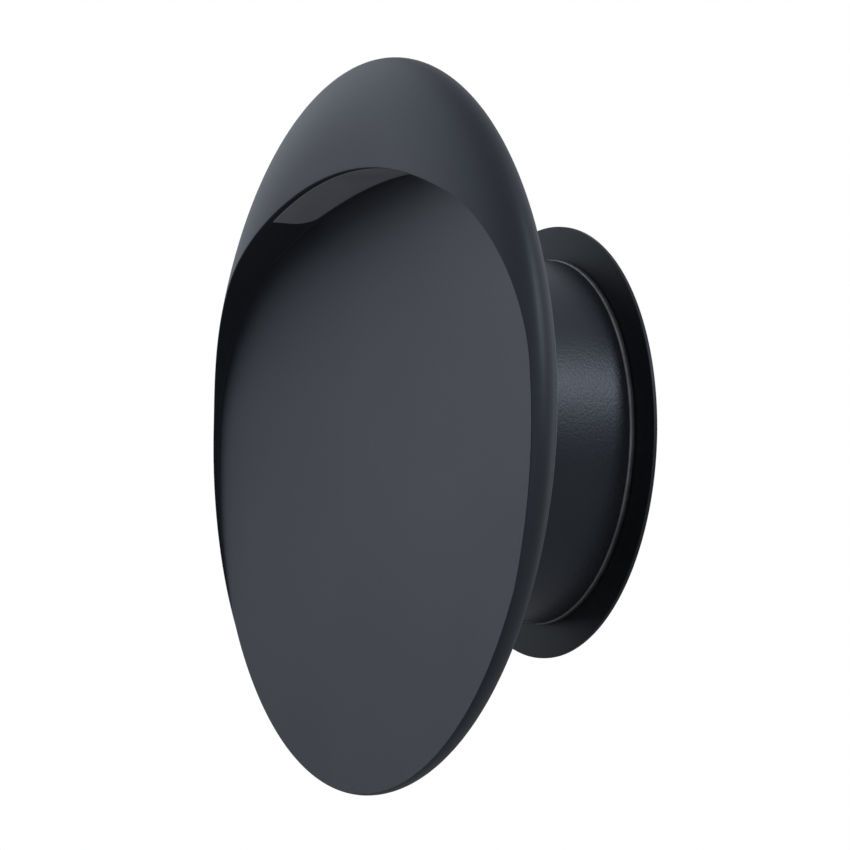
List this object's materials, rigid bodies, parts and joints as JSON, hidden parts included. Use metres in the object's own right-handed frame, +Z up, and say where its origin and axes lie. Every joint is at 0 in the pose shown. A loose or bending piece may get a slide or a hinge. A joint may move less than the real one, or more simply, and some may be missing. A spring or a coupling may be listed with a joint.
{
  "type": "outdoor wall light",
  "caption": "Round disc-shaped outdoor wall light whose crescent hood hides a downward light window, on a short drum neck and wall flange; the head turns on the neck.",
  "frame": {"origin": "middle of the wall side, on the neck's axis, in the plane of the wall", "axes": "+Y points into the wall, so the light stands out along -Y; +X is to the right seen from in front; +Z is up, towards the hood"},
  "size_m": [0.22, 0.0737, 0.22],
  "materials": {
    "coated_casting": "matte",
    "ring_metal": "satin",
    "stainless_steel": "satin",
    "zinc_steel": "satin",
    "brass": "satin",
    "opal_window": "matte",
    "grey_silicone": "matte",
    "black_rubber": "matte",
    "black_plastic": "satin",
    "white_plastic": "matte",
    "terminal_white": "satin",
    "board_white": "satin",
    "chip_yellow": "satin",
    "lead_black": "satin",
    "lead_brown": "satin",
    "lead_green": "satin"
  },
  "bodies": {
    "wall_body": {"wall_gasket": "black_rubber", "wall_flange": "coated_casting", "seam_ring": "ring_metal", "neck_drum": "coated_casting", "mounting_bracket": "zinc_steel", "cable_grommet": "black_rubber", "fixing_screws": "stainless_steel", "terminal_block": "terminal_white", "terminal_screws": "brass", "terminal_mount_screws": "stainless_steel", "earth_screw": "brass", "earth_washer": "zinc_steel", "driver_case": "white_plastic", "driver_screws": "stainless_steel", "supply_leads": "lead_brown", "earth_lead": "lead_green", "led_lead_neck": "lead_black", "stop_pin": "stainless_steel", "wave_washer": "stainless_steel", "face_seal": "black_rubber"},
    "head": {"head_casting": "coated_casting", "rear_shell": "coated_casting", "rear_gasket": "grey_silicone", "rear_screws": "stainless_steel", "window": "opal_window", "window_gasket": "black_rubber", "window_screws": "stainless_steel", "led_board": "board_white", "led_chips": "chip_yellow", "thermal_pad": "grey_silicone", "board_screws": "stainless_steel", "led_lead_head": "lead_black", "pivot_tube": "stainless_steel", "pivot_nut": "stainless_steel", "stop_washer": "stainless_steel", "friction_washer": "black_plastic", "tube_seal": "black_rubber"}
  },
  "joints": [
    {"name": "head_turn", "type": "hinge", "parent": "wall_body", "child": "head", "pos_m": [0, -0.044, 0], "axis": [0, 1, 0], "range_deg": [-169, 169]}
  ]
}
